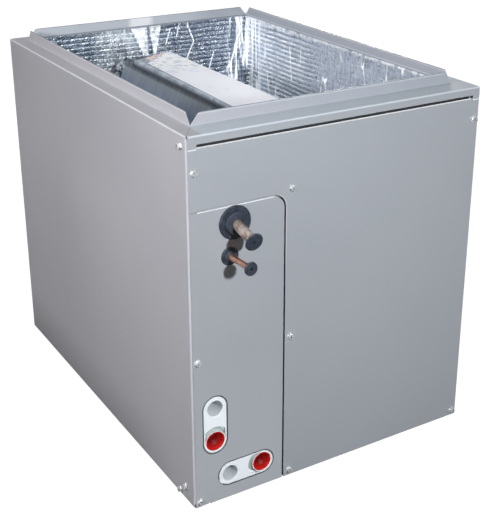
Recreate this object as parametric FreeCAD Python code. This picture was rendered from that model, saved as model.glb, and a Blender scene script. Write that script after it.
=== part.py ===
import FreeCAD, Part
import math
import os
from FreeCAD import Vector

# Cased evaporator coil for an upflow or horizontal furnace.
# A folded steel cabinet, open to the duct above and below, holds two finned coil slabs
# that lean together like a letter A over a moulded drain pan.
# Millimetres. +Z is up, the front with the pipe connections faces -Y, and the origin is
# the centre of the cabinet's base.

# Cabinet
cabinet_width = 533.0
cabinet_depth = 724.0
cabinet_height = 610.0
sheet = 1.2
bend = 1.4
lap_gap = 0.3
edge_inset = 2.0
return_width = 13.5
bottom_flange = 25.0
fold_start = 8.0

# Duct opening on top
side_ledge = 28.0
front_ledge = 42.0
duct_flange = 19.0
flange_slant = 15.0
mitre_gap = 0.3
mitre_overrun = 1.2
corner_relief = 1.7

# Front rails
top_rail_lip = 19.0
slot_height = 4.6
slot_end = 16.0
bottom_rail_height = 17.0
bottom_rail_flange = 12.0

# Door and piping panel
seam_from_left = 161.9
seam_height = 496.8
seam_radius = 20.0
seam_gap = 1.0
door_edge_return = 10.0
door_hook = 14.0
seam_edge_round = 1.3
panel_foot = 0.6
panel_edge_step = 0.6
foot_notch = (12.0, 27.0)
foot_notch_height = 2.6
fold_relief = 1.4

# Insulation
liner = 12.7
liner_gap = 0.3
liner_port_gap = 4.0

# Screws
screw_shank = 4.0
screw_shank_length = 7.0
screw_hole_gap = 0.4
screw_washer = 11.5
screw_washer_thickness = 1.0
screw_hex = 7.9
screw_hex_height = 4.2
screw_from_edge = 10.0
door_screw_drop = 34.7
door_screw_foot = 10.5
seam_screw_offset = 11.9
seam_screw_rise = 6.3
seam_screw_middle = 257.6
side_screw_top = (19.0, 17.5)
side_screw_low = (47.0, 10.0)
side_screw_mid = (30.0, 25.0)
back_screw_margin = 70.0

# Coil slabs
coil_front = 120.0
coil_rear_space = 44.0
apex_half_width = 47.5
slab_from_liner = 12.2
slab_above_trough = 31.2
slab_thickness = 44.0
tube_pitch = 43.0
tube_rows = 12
row_pitch = 22.0
tube_radius = 4.76
tube_hole_gap = 0.1
fin_ridge_pitch = 14.0
fin_groove = 6.0
fin_groove_depth = 3.0
tube_sheet = 1.5
tube_sheet_ear = 15.0
tube_sheet_ear_start = 320.0
tube_sheet_ear_slope = 22.0
bend_stub = 2.0
circuit_split = 6
seat_gap = 0.3

# Apex plate and end plates
thin_sheet = 1.0
apex_lip = 9.0
apex_corner_cut = 40.0
delta_foot = 54.0

# Refrigerant pipes
suction_from_left = 75.5
suction_drop = 10.8
suction_reach = 51.0
suction_radius = 7.94
suction_wall = 1.0
suction_run_depth = 57.0
suction_bend = 25.0
suction_run_past = 12.0
header_radius = 9.5
header_depth = 75.0
header_overrun = 14.0
header_wall = 1.1
liquid_from_left = 66.4
pipe_spacing = 51.2
liquid_rise = 2.9
liquid_reach = 57.7
liquid_radius = 4.76
liquid_wall = 0.8
liquid_run_depth = 42.0
liquid_bend = 18.0
liquid_run = 85.0
solder_gap = 0.15

# Metering body, distributor and feeders
metering_length = 46.0
metering_hex = 24.0
metering_nut = 19.0
metering_nut_length = 10.0
distributor_length = 26.0
distributor_rim = 10.4
distributor_small = 7.0
distributor_large = 13.0
feeder_radius = 2.4
feeder_ring = 5.3
feeder_bend = 12.0
feeder_drop = 34.0
feeder_side_step = 20.0
feeder_circuit_step = 14.0
feeder_sweep = 26.0
feeder_lift = 6.0

# Rubber grommets and plugs
suction_grommet_radius = 26.4
suction_grommet_hub = 17.5
suction_grommet_height = 8.0
liquid_grommet_radius = 14.2
liquid_grommet_hub = 9.6
liquid_grommet_height = 6.0
grommet_lip = 2.6
grommet_back_inset = 3.0
grommet_neck_inset = 5.0
grommet_chamfer = 1.4
grommet_seam_gap = 2.0
rubber_gap = 0.2
suction_plug_radius = 14.2
liquid_plug_radius = 10.6
plug_flange = 4.8
plug_flare = 2.6
plug_body = 14.0
plug_dimple = 2.0
plug_chamfer = 1.2
plug_flare_inset = 1.5

# Drain pans
pan_base = 20.0
pan_top = 80.0
pan_wall = 3.0
pan_floor = 4.0
pan_front = 24.0
pan_rear_gap = 18.0
pan_side_gap = 0.6
pan_corner = 12.0
trough_width = 68.3
well_inset = 10.0
well_rim = 50.0
pan_rib = 4.0
pan_rib_inset = 20.0
pan_length_margin = 14.0
rail_shelf = 40.0
side_pan_lift = 8.0
side_pan_drop = 48.0
side_pan_low_depth = 21.0
side_pan_high_depth = 44.0
side_pan_front = 50.0
side_pan_rear_gap = 24.0
sump_depth = 12.0
sump_rim = 2.0

# Drain ports
port_spacing = 58.6
port_block_radius = 19.9
port_radius = 13.45
port_recess = 0.3
port_hole_gap = 1.3
port_collar = 2.4
port_groove = 1.2
port_groove_depth = 0.8
main_port_from_left = 93.2
main_port_height = 44.8
side_port_from_left = 38.3
side_port_height = 141.3
crescent_inner = 17.6
crescent_outer = 25.5
crescent_depth = 6.0
crescent_rim = 2.2
drain_plug_radius = 16.3
drain_plug_taper = 8.0
drain_plug_depth = 13.0
drain_plug_floor = 6.0
drain_plug_wall = 1.5

# Places worked out from the sizes above
half_width = cabinet_width / 2
front = -cabinet_depth / 2
back = cabinet_depth / 2
overlay = sheet + lap_gap
liner_face = half_width - sheet - liner_gap - liner
inside_corner = half_width - sheet - bend
coil_back = cabinet_depth - coil_rear_space
slab_length = tube_pitch * (tube_rows + 0.5)
slab_foot = (-liner_face + slab_from_liner, pan_base + pan_floor + slab_above_trough)
lean = math.asin((-slab_foot[0] - apex_half_width) / slab_length)
lean_up = (math.sin(lean), math.cos(lean))
lean_in = (math.cos(lean), -math.sin(lean))
apex_height = slab_foot[1] + slab_length * lean_up[1]
well_half_width = liner_face - trough_width
side_pan_base = pan_top + side_pan_lift
side_pan_top = cabinet_height - side_pan_drop
suction_height = seam_height - sheet - grommet_seam_gap - suction_grommet_radius + grommet_back_inset
liquid_height = suction_height - pipe_spacing
suction_slope = suction_drop / suction_reach
liquid_slope = liquid_rise / liquid_reach
suction_x = -half_width + suction_from_left
liquid_x = -half_width + liquid_from_left
main_port_x = -half_width + main_port_from_left
side_port_x = -half_width + side_port_from_left


def at_xy(a, b):
    return Vector(a, b, 0)


def at_xz(a, b):
    return Vector(a, 0, b)


def at_yz(a, b):
    return Vector(0, a, b)


AXIS = {at_xy: Vector(0, 0, 1), at_xz: Vector(0, 1, 0), at_yz: Vector(1, 0, 0)}


def box(x, y, z):
    """A block from three (low, high) pairs."""
    return Part.makeBox(x[1] - x[0], y[1] - y[0], z[1] - z[0], Vector(x[0], y[0], z[0]))


def corner(before, here, after, radius):
    """Where an arc of the given radius rounds a corner: its start, middle and end."""
    way_in = (here - before).normalize()
    way_out = (after - here).normalize()
    half_turn = way_in.getAngle(way_out) / 2
    cut = radius * math.tan(half_turn)
    inward = (way_out - way_in).normalize()
    middle = here + inward * (radius / math.cos(half_turn) - radius)
    return here - way_in * cut, middle, here + way_out * cut


def rounded_path(points, radii):
    """Lines and arcs through an open run of points, rounded at each inner point."""
    edges = []
    start = points[0]
    for i in range(1, len(points) - 1):
        if radii[i - 1] <= 0:
            edges.append(Part.LineSegment(start, points[i]).toShape())
            start = points[i]
            continue
        first, middle, last = corner(points[i - 1], points[i], points[i + 1], radii[i - 1])
        if (first - start).Length > 1e-6:
            edges.append(Part.LineSegment(start, first).toShape())
        edges.append(Part.Arc(first, middle, last).toShape())
        start = last
    if (points[-1] - start).Length > 1e-6:
        edges.append(Part.LineSegment(start, points[-1]).toShape())
    return edges


def plate(plane, points, low, high, radii=None):
    """A flat plate with the given outline, corners rounded where radii say, from low to high."""
    count = len(points)
    radii = radii or [0] * count
    corners = [plane(*p) for p in points]
    edges = []
    ends = []
    for i, here in enumerate(corners):
        if radii[i] > 0:
            ends.append(corner(corners[i - 1], here, corners[(i + 1) % count], radii[i]))
        else:
            ends.append((here, None, here))
    for i in range(count):
        first, middle, last = ends[i]
        if middle is not None:
            edges.append(Part.Arc(first, middle, last).toShape())
        following = ends[(i + 1) % count][0]
        if (following - last).Length > 1e-6:
            edges.append(Part.LineSegment(last, following).toShape())
    axis = AXIS[plane]
    face = Part.Face(Part.Wire(Part.__sortEdges__(edges)))
    face.translate(axis * low)
    return face.extrude(axis * (high - low))


def folded_sheet(plane, points, low, high, thickness, inside):
    """A bent sheet. The points follow its outer face and inside is +1 or -1 for the side,
    right or left of the way along, on which the metal lies."""
    offset = []
    count = len(points)
    for i, here in enumerate(points):
        normals = []
        for a, b in ((i - 1, i), (i, i + 1)):
            if a >= 0 and b < count:
                dx = points[b][0] - points[a][0]
                dy = points[b][1] - points[a][1]
                length = math.hypot(dx, dy)
                normals.append((inside * dy / length, -inside * dx / length))
        nx = sum(n[0] for n in normals)
        ny = sum(n[1] for n in normals)
        scale = thickness * len(normals) / (nx * nx + ny * ny)
        offset.append((here[0] + nx * scale, here[1] + ny * scale))
    outer_radii = []
    inner_radii = []
    for i in range(1, count - 1):
        ax = points[i][0] - points[i - 1][0]
        ay = points[i][1] - points[i - 1][1]
        bx = points[i + 1][0] - points[i][0]
        by = points[i + 1][1] - points[i][1]
        towards_metal = (ax * by - ay * bx) * inside < 0
        outer_radii.append(bend + thickness if towards_metal else bend)
        inner_radii.append(bend if towards_metal else bend + thickness)
    outer = [plane(*p) for p in points]
    inner = [plane(*p) for p in reversed(offset)]
    edges = rounded_path(outer, outer_radii)
    edges.append(Part.LineSegment(outer[-1], inner[0]).toShape())
    edges += rounded_path(inner, list(reversed(inner_radii)))
    edges.append(Part.LineSegment(inner[-1], outer[0]).toShape())
    axis = AXIS[plane]
    face = Part.Face(Part.Wire(edges))
    face.translate(axis * low)
    return face.extrude(axis * (high - low))


def rod(start, end, radius):
    """A straight round bar between two points."""
    way = end - start
    return Part.makeCylinder(radius, way.Length, start, way)


def bent_rod(points, radius, bend_radius):
    """A round bar along straight runs joined by tangent arcs."""
    path = Part.Wire(rounded_path(points, [bend_radius] * (len(points) - 2)))
    start = Part.Circle(points[0], points[1] - points[0], radius).toShape()
    return path.makePipe(Part.Face(Part.Wire([start])))


def hexagon(centre, axis, across_flats, height):
    """A hexagonal prism that stands on centre and grows along axis."""
    shape = Part.Face(Part.makePolygon([
        Vector(across_flats / math.sqrt(3) * math.cos(math.radians(60 * i)),
               across_flats / math.sqrt(3) * math.sin(math.radians(60 * i)), 0)
        for i in range(7)])).extrude(Vector(0, 0, height))
    shape.Placement = FreeCAD.Placement(centre, FreeCAD.Rotation(Vector(0, 0, 1), axis))
    return shape


def turned(profile, start, way):
    """A turned piece from half its outline, as (place along the axis, radius) pairs."""
    corners = [Vector(radius, 0, along) for along, radius in profile]
    shape = Part.Face(Part.makePolygon(corners + corners[:1])).revolve(Vector(0, 0, 0), Vector(0, 0, 1), 360)
    shape.Placement = FreeCAD.Placement(start, FreeCAD.Rotation(Vector(0, 0, 1), way))
    return shape


def round_edges(shape, radius, wanted):
    """Rounds the edges whose middle passes the wanted test."""
    middles = [(e, e.valueAt((e.FirstParameter + e.LastParameter) / 2)) for e in shape.Edges]
    return shape.makeFillet(radius, [e for e, middle in middles if wanted(middle)])


def fuse(shapes):
    """One solid from overlapping shapes, without seams between flush faces."""
    return shapes[0].multiFuse(shapes[1:]).removeSplitter()


def mirrored(shape):
    """The same piece on the other side of the cabinet."""
    return shape.mirror(Vector(0, 0, 0), Vector(1, 0, 0))


def near(a, b):
    return abs(a - b) < 0.01


# Casing


def top_fold(plane, wall, step, ledge, low, high, wall_foot, inside):
    """The folded top of a wall: the wall's upper part, a flat ledge and an upright duct flange."""
    points = [(wall, wall_foot), (wall, cabinet_height), (wall + step * ledge, cabinet_height),
              (wall + step * ledge, cabinet_height + duct_flange)]
    return folded_sheet(plane, points, low, high, sheet, inside)


def slanted_ends(plane, low_end, high_end, reach_low, reach_high):
    """The two wedges that slant the ends of a duct flange back towards its top."""
    base = cabinet_height + bend
    tip = cabinet_height + duct_flange + 1
    over = flange_slant * (1 + 1 / duct_flange)
    wedges = []
    for end, way in ((low_end, 1), (high_end, -1)):
        beyond = end - way * front_ledge * 2
        points = [(beyond, base), (end + way, base), (end + way * over, tip), (beyond, tip)]
        wedges.append(plate(plane, points, reach_low, reach_high))
    return wedges


def corner_holes():
    """Round reliefs where the folds of two walls and the ledge come together."""
    holes = []
    for x in (-half_width + corner_relief, half_width - corner_relief):
        for y in (front + corner_relief, back - corner_relief):
            holes.append(Part.makeSphere(corner_relief, Vector(x, y, cabinet_height - corner_relief)))
    return holes


def side_plan():
    """The left panel's mitred ledge seen from above, as a tall prism."""
    inner_x = -half_width + side_ledge * mitre_overrun
    front_y = front + front_ledge * mitre_overrun + mitre_gap
    back_y = back - side_ledge * mitre_overrun - mitre_gap
    points = [(-half_width, front + mitre_gap), (inner_x, front_y), (inner_x, back_y),
              (-half_width, back - mitre_gap)]
    return plate(at_xy, points, 0, cabinet_height + duct_flange + 1)


def left_side_panel():
    wall_front = front + overlay
    wall_back = back - overlay
    channel = folded_sheet(
        at_xy,
        [(-half_width + return_width, wall_front), (-half_width, wall_front),
         (-half_width, wall_back), (-half_width + return_width, wall_back)],
        fold_start, cabinet_height - sheet - bend - lap_gap, sheet, 1)
    top = top_fold(at_xz, -half_width, 1, side_ledge, wall_front, wall_back, cabinet_height - fold_start, 1)
    top = top.common(side_plan())
    foot = folded_sheet(
        at_xz, [(-half_width, fold_start), (-half_width, 0), (-half_width + bottom_flange, 0)],
        wall_front, wall_back, sheet, -1)
    outline = box((-half_width, half_width), (wall_front, wall_back), (0, cabinet_height + duct_flange))
    outline = round_edges(outline, bend + sheet,
                          lambda p: near(p.x, -half_width) and 1 < p.z < cabinet_height)
    ends = slanted_ends(at_yz, front + front_ledge, back - side_ledge, -half_width, 0)
    panel = fuse([channel, top.common(outline), foot.common(outline)])
    return panel.cut(Part.makeCompound(ends + corner_holes() + side_screw_holes(-1) + return_screw_holes()))


def front_top_rail():
    rail = top_fold(at_yz, front, 1, front_ledge, -half_width + edge_inset, half_width - edge_inset,
                    cabinet_height - top_rail_lip, 1)
    inner_x = half_width - side_ledge * mitre_overrun
    inner_y = front + front_ledge * mitre_overrun - mitre_gap
    plan = plate(at_xy, [
        (-half_width, front - 1), (half_width, front - 1), (half_width, front - mitre_gap),
        (inner_x, inner_y), (-inner_x, inner_y), (-half_width, front - mitre_gap)],
        0, cabinet_height + duct_flange + 1)
    lip = box((-half_width, half_width), (front - 1, front + sheet), (0, cabinet_height - sheet))
    rail = rail.common(fuse([plan, lip]))
    slot = box((-half_width + slot_end, half_width - slot_end), (front - 1, front + sheet + 1),
               (cabinet_height - top_rail_lip - 1, cabinet_height - top_rail_lip + slot_height))
    ends = slanted_ends(at_xz, -half_width + side_ledge, half_width - side_ledge, front, 0)
    return rail.cut(Part.makeCompound(ends + [slot] + corner_holes()))


def back_panel():
    wall = (-half_width + edge_inset, half_width - edge_inset)
    top = top_fold(at_yz, back, -1, side_ledge, wall[0], wall[1], cabinet_height - fold_start, -1)
    reach = side_ledge * mitre_overrun
    plan = plate(at_xy, [
        (-half_width, back + 1), (half_width, back + 1), (half_width, back + mitre_gap),
        (half_width - reach, back - reach + mitre_gap), (-half_width + reach, back - reach + mitre_gap),
        (-half_width, back + mitre_gap)], 0, cabinet_height + duct_flange + 1)
    skin = box((-half_width, half_width), (back - sheet, back + 1), (0, cabinet_height - sheet))
    top = top.common(fuse([plan, skin]))
    flat = box(wall, (back - sheet, back), (fold_start, cabinet_height - fold_start))
    inner = half_width - bottom_flange - lap_gap
    foot = folded_sheet(at_yz, [(back, fold_start), (back, 0), (back - bottom_flange, 0)],
                        -inner, inner, sheet, 1)
    hem = box(wall, (back - sheet, back), (bend + sheet, fold_start))
    ends = slanted_ends(at_xz, -half_width + side_ledge, half_width - side_ledge, 0, back)
    panel = fuse([flat, top, foot, hem])
    return panel.cut(Part.makeCompound(ends + corner_holes() + screw_bores(back_screws())))


def front_bottom_rail():
    face = front + overlay + sheet + lap_gap
    channel = folded_sheet(
        at_yz,
        [(face + bottom_rail_flange, bottom_rail_height), (face, bottom_rail_height),
         (face, sheet + lap_gap)],
        -inside_corner, inside_corner, sheet, -1)
    inner = half_width - bottom_flange - lap_gap
    foot = folded_sheet(at_yz, [(face, fold_start), (face, 0), (face + bottom_flange, 0)],
                        -inner, inner, sheet, -1)
    return fuse([channel, foot]).cut(Part.makeCompound(screw_bores(front_screws())))


# Door and piping panel

left_edge = -half_width + edge_inset
right_edge = half_width - edge_inset
seam_x = -half_width + seam_from_left
door_top = cabinet_height - top_rail_lip - lap_gap
clear_of_return = liner_face - lap_gap
foot_clearance = bottom_rail_height + 3.0


def seam_block(grow, low, high):
    """The piping panel's outline, grown by some amount at the seam, as a block along the depth."""
    left = left_edge + panel_edge_step
    points = [(left, panel_foot), (seam_x + grow, panel_foot), (seam_x + grow, seam_height + grow),
              (left, seam_height + grow)]
    return plate(at_xz, points, low, high, [0, 0, seam_radius + grow, 0])


def door_block(inset, low, high):
    """The door's L-shaped outline, drawn in by some amount at the seam and the top."""
    grow = seam_gap + inset
    top = door_top - inset
    shelf = seam_height + grow
    outline = [(left_edge, top), (right_edge, top), (right_edge, panel_foot), (seam_x + grow, panel_foot),
               (seam_x + grow, shelf), (left_edge, shelf)]
    return plate(at_xz, outline, low, high, [0, 0, 0, 0, seam_radius + grow, 0])


def outside_seam(p):
    """How far a point lies outside the piping panel's outline."""
    dx = p.x - (seam_x - seam_radius)
    dz = p.z - (seam_height - seam_radius)
    if dx > 0 and dz > 0:
        return math.hypot(dx, dz) - seam_radius
    return max(dx, dz) - seam_radius


def on_fold(p):
    """True where a front panel turns back into the cabinet: along the seam and the door's top."""
    return near(p.y, front) and (-0.01 < outside_seam(p) < seam_gap + 0.01 or near(p.z, door_top))


def formed_panel(skin, block, hollow):
    """A flat skin whose edges are folded back wherever there is room between the side returns."""
    room = box((-clear_of_return, clear_of_return), (front, front + door_edge_return),
               (foot_clearance, door_top))
    folded = round_edges(block.common(room), seam_edge_round, on_fold).cut(hollow)
    return fuse([folded, skin.cut(room)])


def access_door():
    """The door. The fold along its top turns up again behind the lip of the top rail."""
    folded = front + door_edge_return
    door = formed_panel(door_block(0, front, front + sheet), door_block(0, front, folded),
                        door_block(sheet, front + sheet, folded))
    hook = box((-clear_of_return, clear_of_return), (folded - sheet, folded),
               (door_top - sheet, door_top + door_hook))
    return fuse([door, hook]).cut(Part.makeCompound(screw_bores(front_screws())))


def piping_panel():
    panel = formed_panel(seam_block(0, front, front + sheet), seam_block(0, front, front + door_edge_return),
                         seam_block(-sheet, front + sheet, front + door_edge_return))
    through = (front - 1, front + sheet + 1)
    foot = box((seam_x - fold_relief, seam_x + 1), through, (0, foot_clearance - fold_relief))
    notch = box((-half_width + foot_notch[0], -half_width + foot_notch[1]), through, (0, foot_notch_height))
    pipes = pipe_holes(rubber_gap - grommet_neck_inset, *through)
    drains = [port_outline(which, port_block_radius + port_hole_gap, *through) for which in ("main", "side")]
    return panel.cut(Part.makeCompound([foot, notch] + pipes + drains + screw_bores(front_screws())))


def pipe_holes(grow, low, high):
    """Round holes for both pipes, larger than the grommets by some amount."""
    places = ((suction_x, suction_height, suction_grommet_radius),
              (liquid_x, liquid_height, liquid_grommet_radius))
    return [rod(Vector(x, low, z), Vector(x, high, z), radius + grow) for x, z, radius in places]


# Screws


def front_screws():
    """Screw places on the front: door corners, the column beside the seam, the panel's left edge."""
    edge = half_width - screw_from_edge
    column = seam_x + seam_screw_offset
    high = door_top - door_screw_drop
    places = [(-edge, high), (edge, high), (edge, door_screw_foot)]
    places += [(-edge, seam_screw_middle), (-edge, door_screw_foot)]
    places += [(column, z) for z in (seam_height + seam_screw_rise, seam_screw_middle, door_screw_foot)]
    return [(Vector(x, front, z), Vector(0, -1, 0)) for x, z in places]


def side_screws(side):
    """Screw places on one side: near the top, and at the pan rail."""
    places = ((side_screw_top[0], cabinet_height - side_screw_top[1]), side_screw_low, side_screw_mid)
    return [(Vector(side * half_width, front + y, z), Vector(side, 0, 0)) for y, z in places]


def back_screws():
    edge = half_width - screw_from_edge
    heights = (back_screw_margin, cabinet_height / 2, cabinet_height - back_screw_margin)
    return [(Vector(side * edge, back, z), Vector(0, 1, 0)) for side in (-1, 1) for z in heights]


def screw(place, outward):
    """A hex washer-head sheet screw seated on a face."""
    washer = rod(place, place + outward * screw_washer_thickness, screw_washer / 2)
    head = hexagon(place + outward * screw_washer_thickness, outward, screw_hex, screw_hex_height)
    shank = rod(place, place - outward * screw_shank_length, screw_shank / 2)
    return fuse([washer, head, shank])


def screw_bores(screws):
    """Clearance holes for a set of screws."""
    radius = (screw_shank + screw_hole_gap) / 2
    return [rod(p + n, p - n * (screw_shank_length + 1), radius) for p, n in screws]


def side_screw_holes(side):
    return screw_bores(side_screws(side))


def return_screw_holes():
    """Holes in the returns for the screws of the front and back."""
    return screw_bores(front_screws() + back_screws())


# Insulation


def liner_bores():
    """Room around the screw shanks that reach into the insulation."""
    screws = front_screws() + side_screws(-1) + side_screws(1) + back_screws()
    return [rod(p, p - n * (screw_shank_length + 1.5), screw_shank / 2 + 1) for p, n in screws]


def left_liner():
    low = pan_base + lap_gap
    block = box((-half_width + sheet + liner_gap, -liner_face),
                (front + overlay + sheet + bend, back - overlay - sheet - bend),
                (low, cabinet_height - sheet - bend))
    return block.cut(Part.makeCompound(liner_bores()))


def back_liner():
    inner = liner_face - liner_gap
    deep = back - overlay - sheet - liner_gap
    block = box((-inner, inner), (deep - liner, deep), (pan_base + lap_gap, cabinet_height - sheet - bend))
    return block.cut(Part.makeCompound(liner_bores()))


liner_front = front + sheet + liner_gap
seam_clear = sheet + liner_gap


def door_liner():
    """Foil-faced pad behind the door, stopping short of its folded edges."""
    inner = clear_of_return - liner_gap
    low = foot_clearance
    high = door_top - seam_clear
    left = seam_x + seam_gap + seam_clear
    shelf = seam_height + seam_gap + seam_clear
    points = [(-inner, high), (inner, high), (inner, low), (left, low), (left, shelf), (-inner, shelf)]
    pad = plate(at_xz, points, liner_front, liner_front + liner)
    return pad.cut(Part.makeCompound(liner_bores()))


def piping_panel_liner():
    """Foil-faced pad behind the piping panel, cut round the pipes and the drain ports."""
    inner = clear_of_return - liner_gap
    right = seam_x - seam_clear
    high = seam_height - seam_clear
    low = side_port_height + port_spacing / 2 + port_block_radius + liner_port_gap
    pad = plate(at_xz, [(-inner, low), (right, low), (right, high), (-inner, high)],
                liner_front, liner_front + liner, [0, 0, seam_radius - seam_clear, 0])
    holes = pipe_holes(1, front, liner_front + liner + 1)
    return pad.cut(Part.makeCompound(holes + liner_bores()))


# Drain pans


def port_outline(which, radius, low, high):
    """The obround block around a pair of drain ports, as a prism along the depth."""
    reach = port_spacing / 2
    if which == "main":
        x, z = main_port_x, main_port_height
        ends = (Vector(x - reach, 0, z), Vector(x + reach, 0, z))
        body = box((x - reach, x + reach), (low, high), (z - radius, z + radius))
    else:
        x, z = side_port_x, side_port_height
        ends = (Vector(x, 0, z - reach), Vector(x, 0, z + reach))
        body = box((x - radius, x + radius), (low, high), (z - reach, z + reach))
    caps = [rod(Vector(e.x, low, e.z), Vector(e.x, high, e.z), radius) for e in ends]
    return fuse([body] + caps)


def ports(which):
    """The open port's centre and the plugged port's centre on the block's face."""
    reach = port_spacing / 2
    face = front + port_recess
    if which == "main":
        return (Vector(main_port_x - reach, face, main_port_height),
                Vector(main_port_x + reach, face, main_port_height))
    return (Vector(side_port_x, face, side_port_height + reach),
            Vector(side_port_x, face, side_port_height - reach))


def port_cuts(which, depth):
    """Both port bores, the seat of the plug and the crescent recess beside it."""
    inward = Vector(0, 1, 0)
    open_port, plugged = ports(which)
    bores = [rod(c - inward, c + inward * depth, port_radius) for c in (open_port, plugged)]
    collar = port_radius + port_collar
    groove = rod(open_port - inward, open_port + inward * port_groove_depth, collar + port_groove)
    groove = groove.cut(rod(open_port - inward, open_port + inward * port_groove_depth, collar))
    seat = Part.makeCone(drain_plug_radius + rubber_gap, port_radius, drain_plug_taper, plugged, inward)
    ring = rod(plugged - inward, plugged + inward * crescent_depth, crescent_outer)
    ring = ring.cut(rod(plugged - inward, plugged + inward * crescent_depth, crescent_inner))
    towards = (open_port - plugged).normalize()
    middle = plugged + towards * (crescent_inner + crescent_outer) / 2
    across = port_block_radius - crescent_rim
    along = crescent_outer
    reach = (front - 1, front + port_recess + crescent_depth + 1)
    if which == "main":
        window = box((middle.x - along / 2, middle.x + along / 2), reach,
                     (middle.z - across, middle.z + across))
    else:
        window = box((middle.x - across, middle.x + across), reach,
                     (middle.z - along / 2, middle.z + along / 2))
    return bores + [seat, groove, ring.common(window)]


def well_ends():
    """Where the well's opening starts and ends along the depth."""
    margin = well_inset + pan_wall
    return (front + coil_front + margin, front + coil_back - margin)


def pan_shell():
    """The moulded pan without its ports: troughs round a rimmed well that the air comes up through."""
    side = liner_face - pan_side_gap
    y = (front + pan_front, back - pan_rear_gap)
    outer = plate(at_xy, [(-side, y[0]), (side, y[0]), (side, y[1]), (-side, y[1])], pan_base, pan_top,
                  [pan_corner] * 4)
    inside = side - pan_wall
    hollow = plate(at_xy, [(-inside, y[0] + pan_wall), (inside, y[0] + pan_wall),
                           (inside, y[1] - pan_wall), (-inside, y[1] - pan_wall)],
                   pan_base + pan_floor, pan_top + 1, [pan_corner - pan_wall] * 4)
    well = well_ends()
    rim = box((-well_half_width, well_half_width), (well[0] - pan_wall, well[1] + pan_wall),
              (pan_base, well_rim))
    open_x = well_half_width - pan_wall
    opening = box((-open_x, open_x), well, (pan_base - 1, pan_top))
    return fuse([outer.cut(hollow), rim] + pan_ribs()).cut(opening)


def pan_length(x, y):
    """One length of the pan. The lengths meet face to face in line with the well's ends."""
    return pan_shell().common(box(x, y, (pan_base - 1, pan_top + 1)))


def ports_length_end():
    """Where the length that carries the ports ends along the width."""
    return main_port_x + port_spacing / 2 + port_block_radius + pan_length_margin


def main_drain_pan():
    """The left length of the pan's front trough, with the block of the drain ports on its face."""
    trough = pan_length((-half_width, ports_length_end()), (front, well_ends()[0]))
    neck = port_outline("main", port_block_radius, front + port_recess, front + pan_front + pan_wall)
    return fuse([trough, neck]).cut(Part.makeCompound(port_cuts("main", pan_front + pan_wall + 2)))


def front_drain_trough():
    return pan_length((ports_length_end(), half_width), (front, well_ends()[0]))


def left_drain_trough():
    """The pan's trough under the left slab."""
    return pan_length((-half_width, 0), well_ends())


def rear_drain_trough():
    return pan_length((-half_width, half_width), (well_ends()[1], back))


def pan_ribs():
    """Cross ribs in the side troughs, cut to the slabs' lean, that the slabs stand on."""
    ribs = []
    foot_x, foot_z = slab_foot
    outer_x = -liner_face + pan_side_gap + pan_wall / 2
    inner_x = -well_half_width + pan_wall / 2
    rise = lean_in[1] / lean_in[0]
    outer_z = foot_z + (outer_x - foot_x) * rise - seat_gap
    inner_z = foot_z + (inner_x - foot_x) * rise - seat_gap
    middle = (coil_front + coil_back) / 2
    for depth in (coil_front + pan_rib_inset, middle, coil_back - pan_rib_inset):
        points = [(outer_x, pan_base + 1), (inner_x, pan_base + 1), (inner_x, inner_z), (outer_x, outer_z)]
        rib = plate(at_xz, points, front + depth - pan_rib / 2, front + depth + pan_rib / 2)
        ribs += [rib, mirrored(rib)]
    return ribs


def side_drain_pan():
    """The upright tray beside the left slab, which catches water when the cabinet lies on its side."""
    wall = -liner_face + pan_side_gap
    low = (wall + side_pan_low_depth, side_pan_base)
    high = (wall + side_pan_high_depth, side_pan_top)
    y = (front + side_pan_front, back - side_pan_rear_gap)
    outer = plate(at_xz, [(wall, side_pan_base), low, high, (wall, side_pan_top)], y[0], y[1])
    hollow = box((wall + pan_wall, half_width), (y[0] + pan_wall, y[1] - pan_wall),
                 (side_pan_base + pan_wall, side_pan_top - pan_wall))
    reach = port_spacing / 2 + port_block_radius + sump_rim
    sump_z = (max(side_port_height - reach, side_pan_base), side_port_height + reach)
    sump_x = (wall, side_port_x + port_block_radius + sump_rim)
    sump = box(sump_x, (y[0], y[0] + sump_depth), sump_z)
    inner_y = y[0] + pan_wall
    inner_z = (sump_z[0] + pan_wall, sump_z[1] - pan_wall)
    sump_hollow = box((wall + pan_wall, sump_x[1] - pan_wall),
                      (inner_y, y[0] + sump_depth - pan_wall), inner_z)
    mouth = box((wall + pan_wall, low[0] - sump_rim), (inner_y, y[0] + sump_depth + pan_wall), inner_z)
    neck = port_outline("side", port_block_radius, front + port_recess, y[0] + pan_wall)
    pan = fuse([outer.cut(hollow), sump, neck])
    cuts = [sump_hollow, mouth] + port_cuts("side", side_pan_front + pan_wall + 1)
    return pan.cut(Part.makeCompound(cuts))


def drain_plug(which):
    """A moulded push-in plug: a tapered cup that narrows into the port's bore."""
    inward = Vector(0, 1, 0)
    mouth = ports(which)[1]
    neck = port_radius - rubber_gap
    end = drain_plug_depth + drain_plug_wall
    profile = [(0, drain_plug_radius), (drain_plug_taper, neck), (end, neck), (end, 0),
               (drain_plug_depth, 0), (drain_plug_depth, drain_plug_floor),
               (drain_plug_taper, neck - drain_plug_wall), (0, drain_plug_radius - drain_plug_wall)]
    return turned(profile, mouth, inward)


def left_pan_rail():
    """The channel that carries the left edge of the drain pan."""
    wall = -half_width + sheet + lap_gap
    y = (front + overlay + sheet + bottom_rail_flange + 2, back - overlay - sheet - bend)
    channel = folded_sheet(
        at_xz,
        [(wall + rail_shelf / 2, sheet + lap_gap), (wall, sheet + lap_gap),
         (wall, pan_base - lap_gap), (wall + rail_shelf, pan_base - lap_gap)],
        y[0], y[1], sheet, 1)
    return channel.cut(Part.makeCompound(side_screw_holes(-1)))


# Coil


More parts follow.
